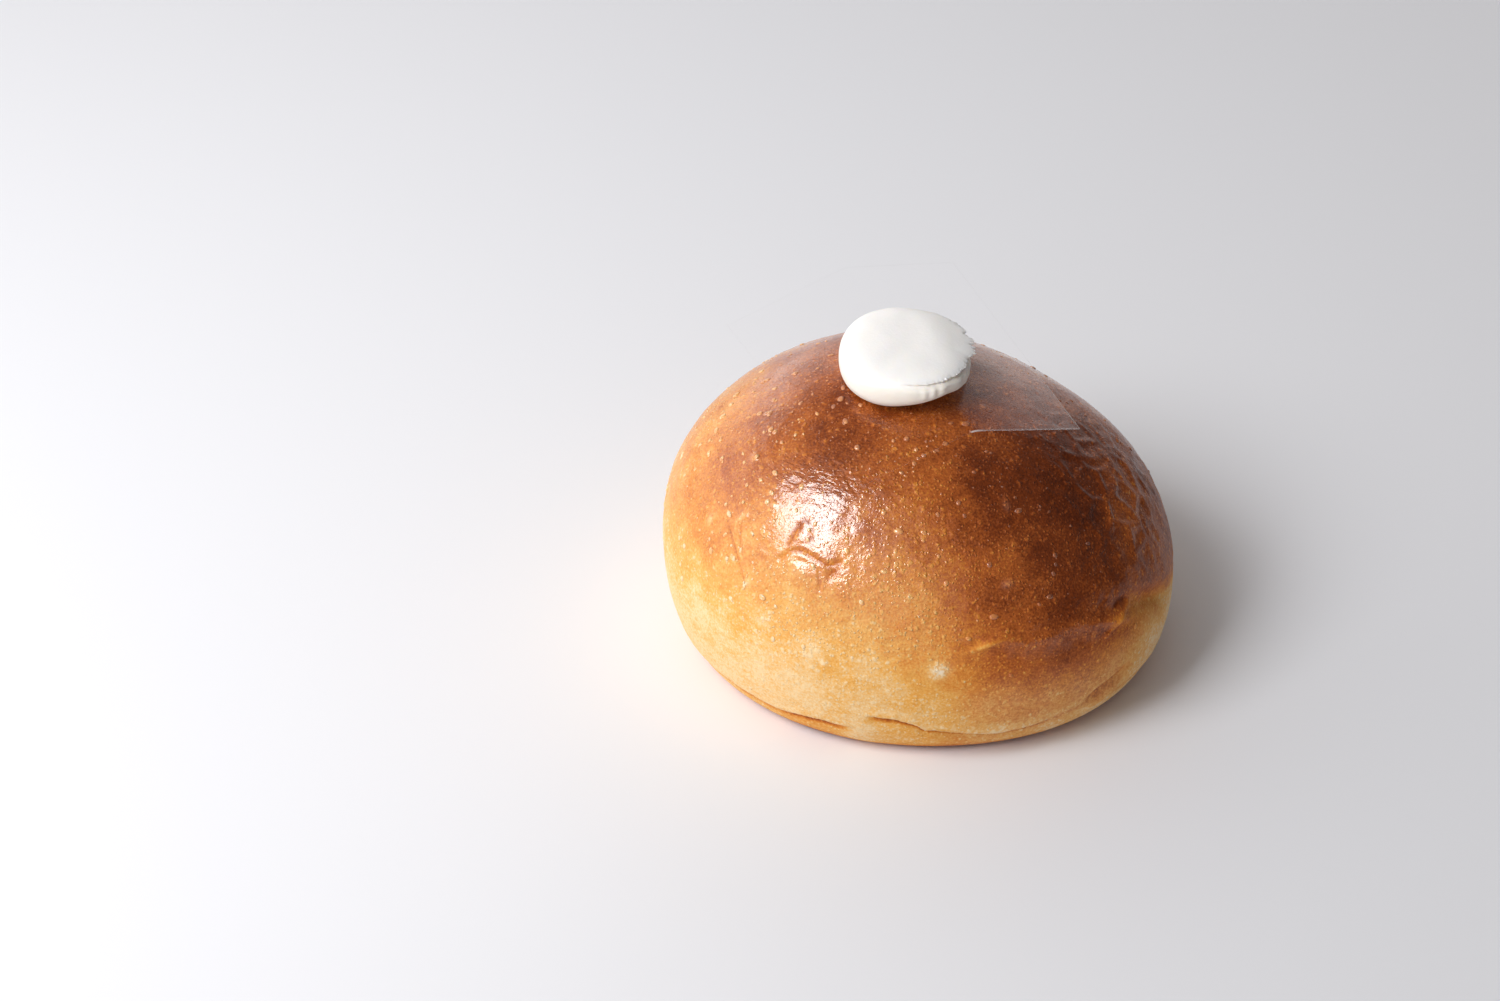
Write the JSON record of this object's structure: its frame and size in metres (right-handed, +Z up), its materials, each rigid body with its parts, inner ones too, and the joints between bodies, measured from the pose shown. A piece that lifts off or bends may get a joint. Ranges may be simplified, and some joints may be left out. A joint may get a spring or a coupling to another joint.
{
  "type": "cream bun",
  "caption": "Round baked bun with a glossy brown crown, a pressed cap of whipped cream and a creased clear film under the cream.",
  "frame": {"origin": "on the resting plane, under the middle of the outline's box", "axes": "+Z up from the flat underside through the crown; +X to the right and +Y to the back of the pictured view"},
  "size_m": [0.0943, 0.0858, 0.0626],
  "materials": {
    "bun": "baked crust, egg-washed and glossy on the crown, pale and matt round the foot",
    "film": "thin clear plastic film, glossy",
    "cream": "whipped cream, soft satin"
  },
  "bodies": {
    "root": {"bun": "bun", "film": "film", "cream": "cream"}
  },
  "joints": []
}
